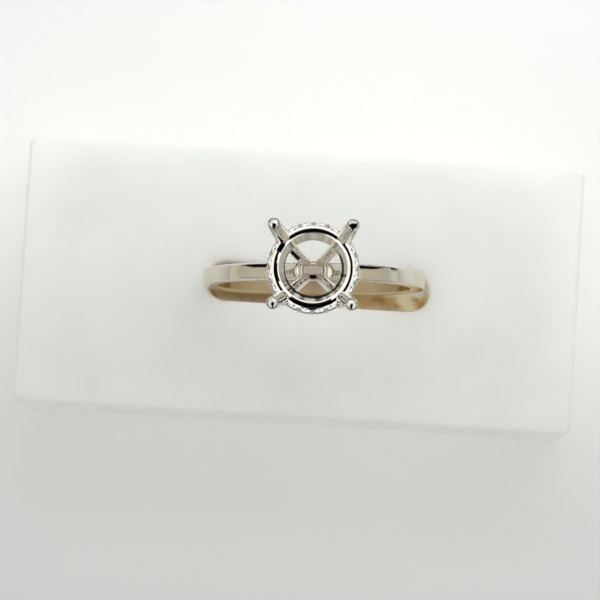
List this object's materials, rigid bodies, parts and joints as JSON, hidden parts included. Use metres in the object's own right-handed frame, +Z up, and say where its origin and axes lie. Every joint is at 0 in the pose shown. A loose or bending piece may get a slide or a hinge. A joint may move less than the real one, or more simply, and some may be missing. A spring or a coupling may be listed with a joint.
{
  "type": "semi mount ring setting in a slotted display block",
  "caption": "Prong-set semi mount ring with a hidden halo and an empty centre seat, standing in a slotted translucent white display block.",
  "frame": {"origin": "centre of the display block's underside", "axes": "+X along the block and its slot, +Y across the block, +Z up, the way the ring's head faces; the finger hole's axis is nearly Y, turned a little about Z"},
  "size_m": [0.051, 0.0244, 0.0334],
  "materials": {
    "frosted_acrylic": "frosted, translucent white",
    "white_gold": "polished",
    "halo_stone": "polished facets"
  },
  "bodies": {
    "root": {"display_block": "frosted_acrylic", "ring_mount": "white_gold", "halo_stone_01": "halo_stone", "halo_stone_02": "halo_stone", "halo_stone_03": "halo_stone", "halo_stone_04": "halo_stone", "halo_stone_05": "halo_stone", "halo_stone_06": "halo_stone", "halo_stone_07": "halo_stone", "halo_stone_08": "halo_stone", "halo_stone_09": "halo_stone", "halo_stone_10": "halo_stone", "halo_stone_11": "halo_stone", "halo_stone_12": "halo_stone", "halo_stone_13": "halo_stone", "halo_stone_14": "halo_stone", "halo_stone_15": "halo_stone", "halo_stone_16": "halo_stone"}
  },
  "joints": []
}
